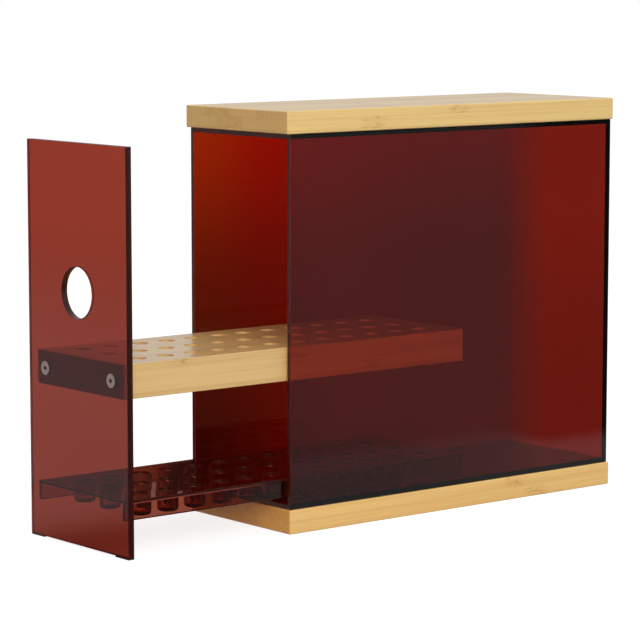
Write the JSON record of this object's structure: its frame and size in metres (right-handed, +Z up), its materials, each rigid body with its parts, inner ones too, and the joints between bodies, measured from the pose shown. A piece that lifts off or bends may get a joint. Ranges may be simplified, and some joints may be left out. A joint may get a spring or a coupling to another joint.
{
  "type": "brush holder with drawer",
  "caption": "Tinted acrylic case between two bamboo boards, with a pull-out bamboo rack that stands cosmetic brushes upright over a tray of cups.",
  "frame": {"origin": "centre of the base board's underside, on the table", "axes": "+Z up; the drawer opens towards -Y; +X is on the right of someone who faces the drawer's front and looks along +Y"},
  "size_m": [0.099, 0.3805, 0.25],
  "materials": {
    "bamboo": "satin",
    "case_acrylic": "polished",
    "drawer_acrylic": "polished",
    "cup_plastic": "gloss",
    "foot_rubber": "matt",
    "screw_steel": "satin"
  },
  "bodies": {
    "case": {"base_board": "bamboo", "top_board": "bamboo", "case_floor_plate": "case_acrylic", "case_top_plate": "case_acrylic", "case_side_left": "case_acrylic", "case_side_right": "case_acrylic", "case_back_plate": "case_acrylic"},
    "drawer": {"front_panel": "drawer_acrylic", "panel_feet": "foot_rubber", "brush_rack": "bamboo", "rack_screws": "screw_steel", "tray_plate": "drawer_acrylic", "tray_wall_left": "drawer_acrylic", "tray_wall_right": "drawer_acrylic", "tray_cups": "cup_plastic", "tray_glides": "drawer_acrylic"}
  },
  "joints": [
    {"name": "drawer_slide", "type": "slide", "parent": "case", "child": "drawer", "axis": [0, -1, 0], "range_m": [-0.112, 0.09]}
  ]
}
